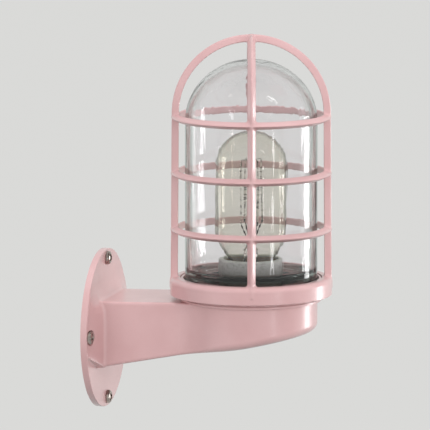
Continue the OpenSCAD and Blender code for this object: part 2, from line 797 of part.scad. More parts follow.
module neutral_lead() {
  color([0.92, 0.92, 0.9]) {
    lead([
      [lead_start, 6, 4], [lead_start + lead_straight, 6, 4], [mid_x - lead_sweep, 7, 3], [mid_x, 9, 2],
      [near_terminal - lead_sweep / 2, 12, 3], [reach - 8, 15, 5],
      [reach + 6, 14, 6], [far_terminal - 2, 8, 8.5], [far_terminal, lead_side + 1, 12], [far_terminal, lead_side, lead_end_z]
    ]);
    held_end(1);
  }
}

module ground_lead() {
  low = underside(ground_x) + wall_t + ground_boss_h + ground_head_h + lead_d / 2 + 0.1;
  color([0.15, 0.5, 0.25]) lead([
    [lead_start - 1, 14, -5], [12, 14, -5.5], [15, ground_y + 0.6, low + 0.6], [ground_x, ground_y, low]
  ]);
}

bracket();
wall_gasket();
mounting_screws();
ground_screw();
guard();
glass_jar();
jar_gasket();
lampholder_body();
lampholder_shell();
centre_contact();
terminals();
terminal_screws();
lampholder_strap();
strap_screws();
threaded_tube();
tube_nut();
bulb_glass();
bulb_cap();
bulb_insulator();
bulb_tip();
bulb_stem();
filament_supports();
filament();
line_lead();
neutral_lead();
ground_lead();
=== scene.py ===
from math import atan2, cos, pi, radians, sin, tan

import bmesh
import bpy
import numpy as np
from mathutils import Matrix, Vector

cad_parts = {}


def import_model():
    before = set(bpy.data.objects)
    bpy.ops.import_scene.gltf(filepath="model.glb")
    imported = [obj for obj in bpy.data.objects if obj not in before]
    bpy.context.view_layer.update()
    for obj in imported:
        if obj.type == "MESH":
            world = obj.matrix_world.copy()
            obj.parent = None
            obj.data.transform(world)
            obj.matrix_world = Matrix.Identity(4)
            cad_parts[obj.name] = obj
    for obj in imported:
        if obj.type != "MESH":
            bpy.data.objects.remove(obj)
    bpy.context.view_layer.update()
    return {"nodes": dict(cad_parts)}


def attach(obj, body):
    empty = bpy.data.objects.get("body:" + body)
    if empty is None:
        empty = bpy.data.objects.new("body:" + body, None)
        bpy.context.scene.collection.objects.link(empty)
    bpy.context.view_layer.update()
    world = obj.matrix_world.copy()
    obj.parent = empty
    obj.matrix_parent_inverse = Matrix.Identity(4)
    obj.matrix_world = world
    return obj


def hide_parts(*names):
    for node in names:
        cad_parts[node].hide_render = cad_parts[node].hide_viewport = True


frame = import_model()
MM = 0.001

# Sizes in millimetres, repeated from the part
REACH = 97.7
PLATE_R, PLATE_T = 50.2, 4.0
SCREW_R, HOLE_R, SPOT_R = 44.45, 2.4, 4.9
GASKET_R, GASKET_HALF, GASKET_DEEP = 37.7, 2.6, 1.6
ARM_HALF, ARM_TOP, ARM_DROP = 28.4, 20.6, 22.6
TOP_SLOPE, LOW_SLOPE = radians(1.1), radians(10.9)
WALL = 3.2
FLARE_OUT, FLARE_REACH, FLARE_FOOT = 5.7, 48.4, -12.0
FLARE_HEIGHTS, FLARE_SHARES = (8, 14, 18, 21, 24, 28, 34), (1, 0.95, 0.74, 0.44, 0.24, 0.08, 0)
HUB_R, NECK_R, BORE_R = 41.7, 44.2, 37.9
HUB_DROP = 1.5
NECK_LOW, NECK_TOP, NECK_PITCH = 21.4, 33.0, 2.6
KERB_R, KERB_HALF, KERB_TOP = 43.4, 0.7, 35.4
GROUND_X, GROUND_Y, GROUND_HIGH = 20, 13, 3.0
COLLAR_R, COLLAR_LOW, COLLAR_TOP, COLLAR_BORE = 50.8, 24.9, 36.1, 44.5
CAGE_R, CAGE_FOOT, RIB_DEPTH, RIB_W, HOOP_H = 50.0, 50.7, 4.7, 5.8, 5.4
HOOPS = (66.0, 101.4, 136.8)
CROWN_Z = 139.1
TURNED = radians(14)
JAR_R, JAR_WALL, JAR_LOW, JAR_SPRING, DOME_H = 41.6, 3.0, 34.2, 134.2, 39.1
JAR_NECK_R, JAR_MOUTH_R, JAR_FOOT = 37.5, 34.5, 25.2
HOLDER_R, HOLDER_LOW, HOLDER_TOP, MOUTH_R = 20.0, 15.6, 48.0, 17.0
STRAP_Z, STRAP_SCREW_R, POST_R = 14.0, 29.0, 4.4
BULB_R, BULB_TOP, BULB_SIDE, BULB_END, BULB_WALL = 22.4, 128.4, 66.9, 21.6, 0.8
BULB_NECK_R = 11.65
CAP_LOW, CAP_TOP, CAP_PITCH = 26.6, 45.0, 3.63
STEM_TOP, STRAND_LOW, STRAND_HIGH, STRAND_R = 110.3, 71.3, 109.3, 7.6


# Distances used to shape the castings


def meet(a, b, r):
    """Both a and b, with the edge between them rounded to radius r."""
    u = np.maximum(a + r, 0)
    v = np.maximum(b + r, 0)
    return np.minimum(np.maximum(a, b), -r) + np.sqrt(u * u + v * v)


def join(a, b, r):
    """Either a or b, with a hollow fillet of radius r between them."""
    u = np.maximum(r - a, 0)
    v = np.maximum(r - b, 0)
    return np.maximum(np.minimum(a, b), r) - np.sqrt(u * u + v * v)


def ramp(a, low, high):
    """0 below low, 1 above high, smooth between."""
    t = np.clip((a - low) / (high - low), 0, 1)
    return t * t * (3 - 2 * t)


def underside(x):
    return -ARM_DROP + x * tan(LOW_SLOPE)


def upper_side(x):
    return ARM_TOP + x * tan(TOP_SLOPE)


# How a surface is found: trial steps in millimetres along a grid line and for the
# normal, the least slope that is trusted, the pull towards the middle of a cell's
# crossings, and how far of a cell a corner may move
SLOPE_STEP, NORMAL_STEP, LEAST_SLOPE, PULL, LOOSE = 0.01, 0.02, 0.15, 0.08, 0.7


def crossings(f, grid, axes, axis, step):
    """Where the surface cuts the grid's lines along one axis: points, normals, cells and quads."""
    shape = np.array(grid.shape)
    first, second = [slice(None)] * 3, [slice(None)] * 3
    first[axis], second[axis] = slice(0, -1), slice(1, None)
    a, b = grid[tuple(first)], grid[tuple(second)]
    at = np.argwhere((a < 0) != (b < 0))
    others = [i for i in range(3) if i != axis]
    inside = np.ones(len(at), bool)
    for i in others:
        inside &= (at[:, i] > 0) & (at[:, i] < shape[i] - 1)
    at = at[inside]
    fa, fb = a[tuple(at.T)], b[tuple(at.T)]
    p = np.stack([axes[i][at[:, i]] for i in range(3)], 1)
    start = p[:, axis].copy()
    p[:, axis] = start + step * fa / (fa - fb)
    ahead = np.zeros(3)
    ahead[axis] = SLOPE_STEP
    for _ in range(2):
        value = f(p[:, 0], p[:, 1], p[:, 2])
        slope = (f(p[:, 0] + ahead[0], p[:, 1] + ahead[1], p[:, 2] + ahead[2]) - value) / SLOPE_STEP
        safe = np.where(np.abs(slope) > LEAST_SLOPE, slope, np.inf)
        p[:, axis] = np.clip(p[:, axis] - value / safe, start, start + step)
    x, y, z = p[:, 0], p[:, 1], p[:, 2]
    e = NORMAL_STEP
    normals = np.stack([
        f(x + e, y, z) - f(x - e, y, z),
        f(x, y + e, z) - f(x, y - e, z),
        f(x, y, z + e) - f(x, y, z - e),
    ], 1)
    normals /= np.linalg.norm(normals, axis=1, keepdims=True) + 1e-9
    cells = []
    for o1, o2 in ((0, 0), (1, 0), (1, 1), (0, 1)):
        corner = at.copy()
        corner[:, others[0]] -= o1
        corner[:, others[1]] -= o2
        cells.append(np.ravel_multi_index(tuple(corner.T), tuple(shape - 1)))
    cells = np.stack(cells, 1)
    turn = (fa < 0) == (axis != 1)
    return p, normals, cells, np.where(turn[:, None], cells, cells[:, ::-1])


def contour(f, low, high, step):
    """Vertices and faces of the surface where f is zero, with its edges kept."""
    axes = [np.arange(low[i], high[i] + step, step) for i in range(3)]
    grid = f(axes[0][:, None, None], axes[1][None, :, None], axes[2][None, None, :]).astype(np.float32)
    all_cells, all_points, all_normals, quads = [], [], [], []
    for axis in range(3):
        p, normal, cells, quad = crossings(f, grid, axes, axis, step)
        quads.append(quad)
        for k in range(4):
            all_cells.append(cells[:, k])
            all_points.append(p)
            all_normals.append(normal)
    points = np.concatenate(all_points)
    normals = np.concatenate(all_normals)
    ids, inverse = np.unique(np.concatenate(all_cells), return_inverse=True)
    n = len(ids)
    count = np.bincount(inverse, minlength=n).astype(float)
    middle = np.stack([np.bincount(inverse, points[:, i], n) for i in range(3)], 1) / count[:, None]
    offset = ((points - middle[inverse]) * normals).sum(1)
    matrix = np.zeros((n, 3, 3))
    side = np.zeros((n, 3))
    for i in range(3):
        side[:, i] = np.bincount(inverse, normals[:, i] * offset, n)
        for j in range(i, 3):
            matrix[:, i, j] = np.bincount(inverse, normals[:, i] * normals[:, j], n)
            matrix[:, j, i] = matrix[:, i, j]
    matrix += PULL * np.eye(3)
    move = np.linalg.solve(matrix, side[:, :, None])[:, :, 0]
    place = middle + np.clip(move, -LOOSE * step, LOOSE * step)
    return place, np.searchsorted(ids, np.concatenate(quads))


def add_mesh(name, vertices, faces, angle=0):
    """A mesh object from points in metres, smooth up to an angle, or flat without one."""
    mesh = bpy.data.meshes.new(name)
    mesh.from_pydata(vertices, [], faces)
    mesh.update()
    if angle:
        mesh.shade_smooth()
        mesh.set_sharp_from_angle(angle=radians(angle))
    obj = bpy.data.objects.new(name, mesh)
    bpy.context.scene.collection.objects.link(obj)
    return obj


def as_object(name, vertices, faces, angle=32):
    """A mesh object from arrays, with its points in millimetres."""
    return add_mesh(name, (np.asarray(vertices) * MM).tolist(), np.asarray(faces).tolist(), angle)


def contoured(name, f, low, high, step):
    return as_object(name, *contour(f, low, high, step))


CORNER_STEPS = 6


def rounded(points):
    """A closed outline from (r, z, corner radius) triples."""
    result = []
    count = len(points)
    for i in range(count):
        a, b, c = points[i - 1], points[i], points[(i + 1) % count]
        radius = b[2] if len(b) > 2 else 0
        if not radius:
            result.append((b[0], b[1]))
            continue
        va = Vector((a[0] - b[0], a[1] - b[1]))
        vc = Vector((c[0] - b[0], c[1] - b[1]))
        half = va.angle(vc) / 2
        reach = min(radius / tan(half), 0.49 * va.length, 0.49 * vc.length)
        start = Vector(b[:2]) + va.normalized() * reach
        end = Vector(b[:2]) + vc.normalized() * reach
        for k in range(CORNER_STEPS + 1):
            t = k / CORNER_STEPS
            q = start * (1 - t) ** 2 + Vector(b[:2]) * 2 * t * (1 - t) + end * t * t
            result.append((q.x, q.y))
    return result


def lathe(name, outline, steps=128, angle=32):
    """A ring swept from a closed outline of (r, z) about the lamp's axis."""
    outline = list(outline)
    count = len(outline)
    vertices, faces = [], []
    for k in range(steps):
        a = 2 * pi * k / steps
        here, after = k * count, (k + 1) % steps * count
        for i, (r, z) in enumerate(outline):
            vertices.append((REACH + r * cos(a), r * sin(a), z))
            j = (i + 1) % count
            faces.append((here + i, after + i, after + j, here + j))
    obj = as_object(name, vertices, faces, angle)
    bm = bmesh.new()
    bm.from_mesh(obj.data)
    bmesh.ops.remove_doubles(bm, verts=bm.verts, dist=1e-6)
    bmesh.ops.dissolve_degenerate(bm, edges=bm.edges, dist=1e-7)
    bmesh.ops.recalc_face_normals(bm, faces=bm.faces)
    bm.to_mesh(obj.data)
    bm.free()
    obj.data.set_sharp_from_angle(angle=radians(angle))
    return obj


def tube(name, lines, radius, sides):
    """Round tubes along lines of points in millimetres, as one mesh."""
    vertices, faces = [], []
    for line in lines:
        pts = [Vector(p) for p in line]
        base = len(vertices)
        normal = None
        for i, p in enumerate(pts):
            t = (pts[min(i + 1, len(pts) - 1)] - pts[max(i - 1, 0)]).normalized()
            if normal is None:
                normal = t.orthogonal().normalized()
            else:
                normal = (normal - t * normal.dot(t)).normalized()
            other = t.cross(normal)
            for k in range(sides):
                a = 2 * pi * k / sides
                vertices.append(p + radius * (cos(a) * normal + sin(a) * other))
        for i in range(len(pts) - 1):
            for k in range(sides):
                a, b = base + i * sides + k, base + i * sides + (k + 1) % sides
                faces.append((a, b, b + sides, a + sides))
        faces.append(tuple(base + k for k in reversed(range(sides))))
        end = base + (len(pts) - 1) * sides
        faces.append(tuple(end + k for k in range(sides)))
    return add_mesh(name, [tuple(v * MM) for v in vertices], faces, 50)


def spline(points, steps=8):
    """A smooth line through points."""
    pts = [Vector(p) for p in points]
    result = []
    for i in range(len(pts) - 1):
        a, b, c, d = pts[max(i - 1, 0)], pts[i], pts[i + 1], pts[min(i + 2, len(pts) - 1)]
        for s in range(steps):
            t = s / steps
            square = (2 * a - 5 * b + 4 * c - d) * t * t
            cube = (3 * b - a - 3 * c + d) * t ** 3
            result.append(0.5 * (2 * b + (c - a) * t + square + cube))
    result.append(pts[-1])
    return result


# Materials


def srgb(r, g, b):
    """Linear colour from 0 to 255 display values."""
    def one(v):
        v /= 255
        return v / 12.92 if v <= 0.04045 else ((v + 0.055) / 1.055) ** 2.4
    return (one(r), one(g), one(b), 1)


def any_ray(tree, *kinds):
    """1 where the light path is of one of these kinds, otherwise 0."""
    path = tree.nodes.new("ShaderNodeLightPath")
    result = path.outputs[kinds[0]]
    for kind in kinds[1:]:
        add = tree.nodes.new("ShaderNodeMath")
        add.operation, add.use_clamp = "ADD", True
        tree.links.new(result, add.inputs[0])
        tree.links.new(path.outputs[kind], add.inputs[1])
        result = add.outputs[0]
    return result


class Nodes:
    """A material's nodes, with short calls to add and link them."""

    def __init__(self, name):
        self.material = bpy.data.materials.new(name)
        self.material.use_nodes = True
        self.tree = self.material.node_tree
        self.tree.nodes.clear()
        self.out = self.add("ShaderNodeOutputMaterial")

    def add(self, kind, **values):
        node = self.tree.nodes.new(kind)
        for key, value in values.items():
            setattr(node, key, value)
        return node

    def link(self, a, b):
        self.tree.links.new(a, b)

    def shader(self, **values):
        node = self.add("ShaderNodeBsdfPrincipled")
        for key, value in values.items():
            node.inputs[key.replace("_", " ")].default_value = value
        self.link(node.outputs[0], self.out.inputs["Surface"])
        return node

    def xyz(self):
        """The object's own coordinates, one output each."""
        split = self.add("ShaderNodeSeparateXYZ")
        self.link(self.add("ShaderNodeTexCoord").outputs["Object"], split.inputs[0])
        return split.outputs

    def maths(self, operation, a, b):
        """Two values put together; a sum stays between 0 and 1."""
        node = self.add("ShaderNodeMath", operation=operation, use_clamp=operation == "ADD")
        for socket, value in ((node.inputs[0], a), (node.inputs[1], b)):
            if isinstance(value, float):
                socket.default_value = value
            else:
                self.link(value, socket)
        return node.outputs[0]

    def mix_shaders(self, factor, first, second):
        """Two shaders mixed, sent to the surface."""
        node = self.add("ShaderNodeMixShader")
        self.link(factor, node.inputs[0])
        self.link(first.outputs[0], node.inputs[1])
        self.link(second.outputs[0], node.inputs[2])
        self.link(node.outputs[0], self.out.inputs["Surface"])

    def place(self, scale=1.0, stretch=(1, 1, 1)):
        coords = self.add("ShaderNodeTexCoord")
        mapping = self.add("ShaderNodeMapping")
        mapping.inputs["Scale"].default_value = [scale * s for s in stretch]
        self.link(coords.outputs["Object"], mapping.inputs["Vector"])
        return mapping.outputs[0]

    def noise(self, per_metre, detail=3.0, rough=0.5, stretch=(1, 1, 1)):
        node = self.add("ShaderNodeTexNoise")
        node.inputs["Scale"].default_value = 1.0
        node.inputs["Detail"].default_value = detail
        node.inputs["Roughness"].default_value = rough
        self.link(self.place(per_metre, stretch), node.inputs["Vector"])
        return node.outputs["Fac"]

    def ranged(self, value, low, high, to_low, to_high):
        node = self.add("ShaderNodeMapRange")
        for key, number in (("From Min", low), ("From Max", high), ("To Min", to_low), ("To Max", to_high)):
            node.inputs[key].default_value = number
        self.link(value, node.inputs["Value"])
        return node.outputs[0]

    def mix(self, factor, a, b):
        node = self.add("ShaderNodeMix", data_type="RGBA")
        self.link(factor, node.inputs[0])
        for socket, value in ((node.inputs[6], a), (node.inputs[7], b)):
            if isinstance(value, tuple):
                socket.default_value = value
            else:
                self.link(value, socket)
        return node.outputs[2]

    def bump(self, heights, shader):
        """heights: (value socket, height in metres) pairs, added one on another."""
        before = None
        for value, distance in heights:
            node = self.add("ShaderNodeBump")
            node.inputs["Strength"].default_value = 1.0
            node.inputs["Distance"].default_value = distance
            self.link(value, node.inputs["Height"])
            if before:
                self.link(before, node.inputs["Normal"])
            before = node.outputs[0]
        self.link(before, shader.inputs["Normal"])


def powder_coat():
    """Satin pink, with painted shade inside the hub: the uncoated room there is coloured near-black."""
    n = Nodes("pink_powder_coat")
    s = n.shader(Roughness=0.42, Coat_Weight=1.0, Coat_Roughness=0.25, Coat_IOR=1.7)
    x, y, z = n.xyz()
    flat = n.add("ShaderNodeCombineXYZ")
    n.link(x, flat.inputs[0])
    n.link(y, flat.inputs[1])
    away = n.add("ShaderNodeVectorMath", operation="DISTANCE")
    n.link(flat.outputs[0], away.inputs[0])
    away.inputs[1].default_value = (REACH * MM, 0, 0)
    # Painted shade: near-black within 38.4 mm of the lamp's axis and under z 27.5 mm, where the uncoated hub
    # lies in shade
    near = n.ranged(away.outputs["Value"], 0.0384, 0.0388, 1.0, 0.0)
    inside = n.maths("MULTIPLY", near, n.ranged(z, 0.0275, 0.028, 1.0, 0.0))
    wide = n.noise(45, 2)
    fine = n.noise(900, 2, 0.6)
    peel = n.noise(1500, 1.5, 0.45)
    colour = n.mix(n.ranged(wide, 0.35, 0.65, 0.0, 1.0), srgb(217, 171, 170), srgb(222, 178, 177))
    colour = n.mix(n.ranged(fine, 0.62, 0.75, 0.0, 0.25), colour, srgb(204, 154, 153))
    # Painted shade colour for the hub's uncoated inside
    bare = n.mix(fine, srgb(14, 22, 18), srgb(28, 37, 32))
    n.link(n.mix(inside, colour, bare), s.inputs["Base Color"])
    n.link(n.ranged(fine, 0.3, 0.7, 0.37, 0.47), s.inputs["Roughness"])
    n.bump([(peel, 0.00003), (wide, 0.0002)], s)
    return n.material


def rubber(name, dark, light):
    n = Nodes(name)
    s = n.shader(Roughness=0.6)
    fine = n.noise(1200, 3, 0.6)
    n.link(n.mix(fine, dark, light), s.inputs["Base Color"])
    n.link(n.ranged(fine, 0.3, 0.7, 0.5, 0.68), s.inputs["Roughness"])
    n.bump([(fine, 0.00004)], s)
    return n.material


def metal(name, dark, light, rough=0.28, streak=(1, 1, 1), per_metre=700, mark=0.00001):
    n = Nodes(name)
    s = n.shader(Metallic=1.0, Roughness=rough)
    fine = n.noise(per_metre, 3, 0.6, streak)
    wide = n.noise(120, 2)
    colour = n.mix(fine, dark, light)
    n.link(n.mix(n.ranged(wide, 0.5, 0.8, 0.0, 0.35), colour, dark), s.inputs["Base Color"])
    n.link(n.ranged(fine, 0.3, 0.7, rough - 0.06, rough + 0.1), s.inputs["Roughness"])
    n.bump([(fine, mark)], s)
    return n.material


def wound_wire():
    """Fine coils, with bright dots painted as highlights on their turns and dark dots as the shade between
    them.
    """
    n = Nodes("strand_wire")
    s = n.shader(Metallic=1.0, Roughness=0.35)
    painted_coil_light = n.noise(760, 1, 0.5, (0.3, 0.3, 1))
    # Painted highlights and shade along the coil
    colour = n.mix(n.ranged(painted_coil_light, 0.44, 0.56, 0.0, 1.0), srgb(38, 33, 24), srgb(226, 222, 212))
    n.link(colour, s.inputs["Base Color"])
    n.bump([(painted_coil_light, 0.00003)], s)
    return n.material


def glaze():
    """Grey porcelain, with painted shade darkening it towards its foot."""
    n = Nodes("porcelain_glaze")
    s = n.shader(Roughness=0.36)
    fine = n.noise(500, 3, 0.6)
    wide = n.noise(80, 2)
    # Painted shade: dark grey low on the holder, light grey above, blended between z 37 and 47.5 mm
    low = n.mix(wide, srgb(66, 65, 59), srgb(84, 83, 77))
    high = n.mix(wide, srgb(158, 158, 152), srgb(170, 170, 166))
    colour = n.mix(n.ranged(n.xyz()[2], 0.037, 0.0475, 0.0, 1.0), low, high)
    n.link(n.mix(n.ranged(fine, 0.5, 0.66, 0.0, 0.45), colour, srgb(82, 80, 72)), s.inputs["Base Color"])
    n.link(n.ranged(fine, 0.3, 0.7, 0.26, 0.4), s.inputs["Roughness"])
    n.bump([(wide, 0.0002), (fine, 0.00002)], s)
    return n.material


def glass(name, tint, density, ior, wave, rim, start, full):
    """Clear glass that lets the lamps through.

    Its thickness shows its tint; painted shade darkens it where it turns away and in a band at the foot.
    """
    n = Nodes(name)
    s = n.shader(Roughness=0.0, IOR=ior, Transmission_Weight=1.0, Specular_IOR_Level=0.35)
    z = n.xyz()[2]
    facing = n.add("ShaderNodeLayerWeight").outputs["Facing"]
    # The painted dark edge weakens over the dome, and the foot's band of painted shade lies at z 35 to 40 mm
    edge = n.maths("MULTIPLY", n.ranged(facing, start, full, 0.0, 1.0), n.ranged(z, 0.138, 0.165, 1.0, 0.4))
    foot = n.maths("MULTIPLY", n.ranged(z, 0.0382, 0.0402, 0.85, 0.0), n.ranged(z, 0.0352, 0.0366, 0.0, 1.0))
    n.link(n.mix(n.maths("ADD", edge, foot), (0.99, 0.972, 0.986, 1), rim), s.inputs["Base Color"])
    n.bump([(n.noise(60, 2, 0.5, (1, 1, 0.35)), wave), (n.noise(240, 2, 0.6, (1, 1, 0.1)), wave / 3)], s)
    # Lamplight and the light between surfaces pass straight through
    through = n.add("ShaderNodeBsdfTransparent")
    through.inputs["Color"].default_value = (0.985, 0.985, 0.985, 1)
    n.mix_shaders(any_ray(n.tree, "Is Shadow Ray", "Is Diffuse Ray"), s, through)
    absorb = n.add("ShaderNodeVolumeAbsorption")
    absorb.inputs["Color"].default_value = tint
    absorb.inputs["Density"].default_value = density
    n.link(absorb.outputs[0], n.out.inputs["Volume"])
    return n.material


def plastic(name, dark, light, rough=0.45):
    n = Nodes(name)
    s = n.shader(Roughness=rough)
    fine = n.noise(700, 2)
    n.link(n.mix(fine, dark, light), s.inputs["Base Color"])
    n.bump([(fine, 0.00002)], s)
    return n.material


COAT = powder_coat()
RUBBER = rubber("gasket_rubber", srgb(22, 30, 27), srgb(34, 44, 40))
PLATED = metal("bright_zinc", srgb(58, 49, 44), srgb(232, 219, 211), 0.14, per_metre=420)
STEEL = metal("sheet_steel", srgb(120, 120, 122), srgb(170, 170, 172), 0.34, (1, 6, 1))
GREEN = metal("green_plating", srgb(30, 90, 50), srgb(60, 130, 80), 0.35)
BRASS = metal("rolled_brass", srgb(160, 118, 58), srgb(206, 168, 96), 0.3)
SOLDER = metal("solder_tin", srgb(120, 120, 120), srgb(178, 178, 178), 0.42, per_metre=1500, mark=0.00004)
WIRE = metal("support_wire", srgb(30, 29, 27), srgb(62, 59, 54), 0.35)
STRAND = wound_wire()
CERAMIC = glaze()
JAR_GLASS = glass("jar_glass", srgb(186, 210, 200), 18.0, 1.5, 0.0003, (0.22, 0.33, 0.28, 1), 0.52, 0.86)
BULB_GLASS = glass("bulb_glass", (0.60, 0.65, 0.26, 1), 215.0, 1.46, 0.00008, (0.12, 0.12, 0.1, 1), 0.62, 0.8)
STEM_GLASS = glass("stem_glass", srgb(220, 226, 224), 6.0, 1.5, 0.00012, (0.5, 0.5, 0.5, 1), 0.6, 0.9)
BLACK_GLASS = plastic("black_glass", srgb(10, 10, 11), srgb(20, 20, 22), 0.12)
BLACK_LEAD = plastic("black_insulation", srgb(18, 18, 19), srgb(30, 30, 31))
WHITE_LEAD = plastic("white_insulation", srgb(214, 213, 207), srgb(226, 225, 219))
GREEN_LEAD = plastic("green_insulation", srgb(28, 100, 52), srgb(38, 116, 62))


def dress(obj, material, slot, body, *nodes):
    """Finish a piece: its material, body and the CAD nodes it stands for. The slot is not used."""
    obj.data.materials.clear()
    obj.data.materials.append(material)
    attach(obj, body)
    if nodes:
        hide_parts(*nodes)
    return obj


# Bracket casting


def bracket_shape(x, y, z):
    wide = np.abs(y)
    from_axis = np.hypot(x - REACH, y)
    low = (underside(x) - HUB_DROP * ramp(x, 64.0, 104.0) - z) * cos(LOW_SLOPE)
    arm_plan = meet(wide - ARM_HALF, np.maximum(x - REACH, -x), 0.01)
    plan = join(arm_plan, from_axis - HUB_R, 8.0)
    edge = 1.6 + 3.2 * ramp(x, 62.0, 96.0)
    lift = np.clip((43.2 - from_axis) * 2.0, 0, 5)
    high = (z - upper_side(x) - lift) * cos(TOP_SLOPE)
    body = meet(meet(plan, low, edge), high, 1.7)
    # The neck overhangs the hub by a small step
    thread = 0.4 * ramp(z, 25.6, 26.2) * (1 + np.cos(2 * pi * z / NECK_PITCH - np.arctan2(y, x - REACH)))
    groove = 1.0 * ramp(z, NECK_LOW + 1.3, NECK_LOW + 1.6) * ramp(-z, -26.0, -25.6)
    neck = meet(from_axis - NECK_R + thread + groove, np.maximum(NECK_LOW - z, z - NECK_TOP), 0.45)
    body = join(body, neck, 0.3)
    # A low rim keeps the jar's gasket in place
    kerb = meet(np.abs(from_axis - KERB_R) - KERB_HALF, np.maximum(z - KERB_TOP, NECK_TOP - 2 - z), 0.3)
    body = np.minimum(body, kerb)
    # The round plate, its rim slightly rounded
    from_middle = np.hypot(y, z)
    plate = np.maximum(meet(from_middle - PLATE_R, x - PLATE_T, 0.6), -x)
    # The flare on both sides of the arm, fading out above it
    fade = np.interp(z, FLARE_HEIGHTS, FLARE_SHARES)
    slant = np.clip((FLARE_REACH - wide) / (FLARE_REACH - ARM_HALF), -1, 1)
    top = FLARE_OUT * slant * fade - 2.0 * ramp(z, 24, 36)
    corner = underside(PLATE_T + FLARE_OUT)
    slope = (FLARE_FOOT - corner) / (FLARE_REACH - ARM_HALF)
    under = (corner + np.maximum(wide - ARM_HALF, 0) * slope - z) * cos(atan2(slope, 1))
    flare = meet((x - PLATE_T - top) * 0.95, np.maximum(under, from_middle - PLATE_R + 0.6), 0.5)
    body = join(body, flare, 1.9)
    body = join(body, np.maximum(plate, -x), 0.8)
    body = np.maximum(body, -x)
    # Hollow arm and hub
    floor = (underside(x) + WALL / cos(LOW_SLOPE) - z) * cos(LOW_SLOPE)
    duct = meet(wide - ARM_HALF + WALL, np.maximum(z - upper_side(x) + WALL, x - REACH), 1.5)
    duct = meet(duct, floor, 1.5)
    cup = meet(from_axis - BORE_R, floor, 2.5)
    hollow = np.minimum(duct, cup)
    post = np.hypot(x - REACH, wide - STRAP_SCREW_R) - POST_R
    hollow = np.maximum(hollow, -join(np.maximum(post, z - STRAP_Z), -floor, 1.0))
    from_ground, ground_floor = np.hypot(x - GROUND_X, y - GROUND_Y), underside(GROUND_X) + WALL
    ground = np.maximum(from_ground - 4.1, z - ground_floor - GROUND_HIGH)
    hollow = np.maximum(hollow, -join(ground, -floor, 1.0))
    body = meet(body, -hollow, 0.35)
    # Recess for the gasket, and the screw holes with their spot faces
    recess = np.maximum(np.abs(from_middle - GASKET_R) - GASKET_HALF, x - GASKET_DEEP)
    body = np.maximum(body, -recess)
    screw = np.minimum(np.hypot(wide - SCREW_R, z), np.hypot(y, np.abs(z) - SCREW_R))
    body = np.maximum(body, HOLE_R - screw)
    body = meet(body, -np.maximum(np.maximum(screw - SPOT_R, PLATE_T - x), x - 12), 0.3)
    body = np.maximum(body, -np.maximum(np.hypot(x - REACH, wide - STRAP_SCREW_R) - 2.0, STRAP_Z - 8 - z))
    tapped = np.maximum(ground_floor - 1 - z, z - ground_floor - 5)
    return np.maximum(body, -np.maximum(from_ground - 2.2, tapped))


casting = contoured("bracket_casting", bracket_shape, (-1.2, -51.6, -51.6), (143.4, 51.6, 51.6), 0.8)
dress(casting, COAT, "pink_coat", "bracket", "bracket")


# Guard casting


def guard_shape(x, y, z):
    x = x - REACH
    u, v = x * cos(TURNED) + y * sin(TURNED), y * cos(TURNED) - x * sin(TURNED)
    r = np.hypot(u, v)
    share = np.clip((HOOPS[2] - z) / (HOOPS[2] - COLLAR_TOP), 0, 1.05)
    outer = CAGE_R + (CAGE_FOOT - CAGE_R) * share
    # Hoops: a ridge section round the axis
    from_hoop = np.minimum(np.minimum(np.abs(z - HOOPS[0]), np.abs(z - HOOPS[1])), np.abs(z - HOOPS[2]))
    tilt = atan2(HOOP_H / 2 - 0.3, RIB_DEPTH)
    facet = (from_hoop - HOOP_H / 2) * cos(tilt) + (r - outer + RIB_DEPTH) * sin(tilt)
    hoops = meet(meet(facet, outer - RIB_DEPTH - r, 1.1), r - outer + 0.12, 0.7)
    # Ribs: the same section in two upright planes that cross in the crown
    tilt = atan2(RIB_W / 2 - 0.3, RIB_DEPTH)
    bars = []
    for along, aside in ((np.abs(u), np.abs(v)), (np.abs(v), np.abs(u))):
        reach = np.where(z < CROWN_Z, along, np.hypot(along, z - CROWN_Z)) - (outer - CAGE_R)
        side = (aside - RIB_W / 2) * cos(tilt) + (reach - CAGE_R + RIB_DEPTH) * sin(tilt)
        bars.append(meet(meet(side, CAGE_R - RIB_DEPTH - reach, 0.9), reach - CAGE_R + 0.12, 0.7))
    ribs = join(bars[0], bars[1], 1.6)
    ribs = np.maximum(ribs, 30.0 - z)
    cage = join(hoops, ribs, 1.3)
    # Collar
    ring = meet(meet(r - COLLAR_R, z - COLLAR_TOP, 3.5), COLLAR_LOW - z, 0.6)
    ring = meet(ring, COLLAR_BORE - r, 0.5)
    return join(cage, ring, 1.8)


cage = contoured(
    "guard_casting", guard_shape, (REACH - 52, -52, COLLAR_LOW - 1.2), (REACH + 52, 52, CROWN_Z + 51.4), 0.67,
)
dress(cage, COAT, "pink_coat", "guard", "guard")


# Glass jar


def oval(z, rx, rz, start, end, steps):
    """Points on an upright oval about height z, from one angle to another."""
    angles = [start + (end - start) * i / steps for i in range(steps + 1)]
    return [(rx * cos(a), z + rz * sin(a)) for a in angles]


def jar_outline():
    inner = JAR_R - JAR_WALL
    foot = rounded([
        (JAR_MOUTH_R, JAR_LOW + 1.5, 0.6), (JAR_MOUTH_R, JAR_FOOT, 0.8), (JAR_NECK_R, JAR_FOOT, 0.8),
        (JAR_NECK_R, JAR_LOW, 0.5), (JAR_R, JAR_LOW, 1.3), (JAR_R, JAR_SPRING),
    ])
    dome = oval(JAR_SPRING, JAR_R, DOME_H, 0, pi / 2, 40)[1:]
    inside = oval(JAR_SPRING, inner, DOME_H - JAR_WALL, pi / 2, 0, 40)
    lip = rounded([
        (inner, JAR_LOW + 60), (inner, JAR_LOW + 7.0, 3.5), (JAR_MOUTH_R + 0.4, JAR_LOW + 3.8, 2.0),
        (JAR_MOUTH_R, JAR_LOW + 1.6),
    ])[1:-1]
    return foot + dome + inside + lip


jar = lathe("glass_jar_body", jar_outline(), 160, angle=60)
dress(jar, JAR_GLASS, "jar_glass", "jar", "glass_jar")

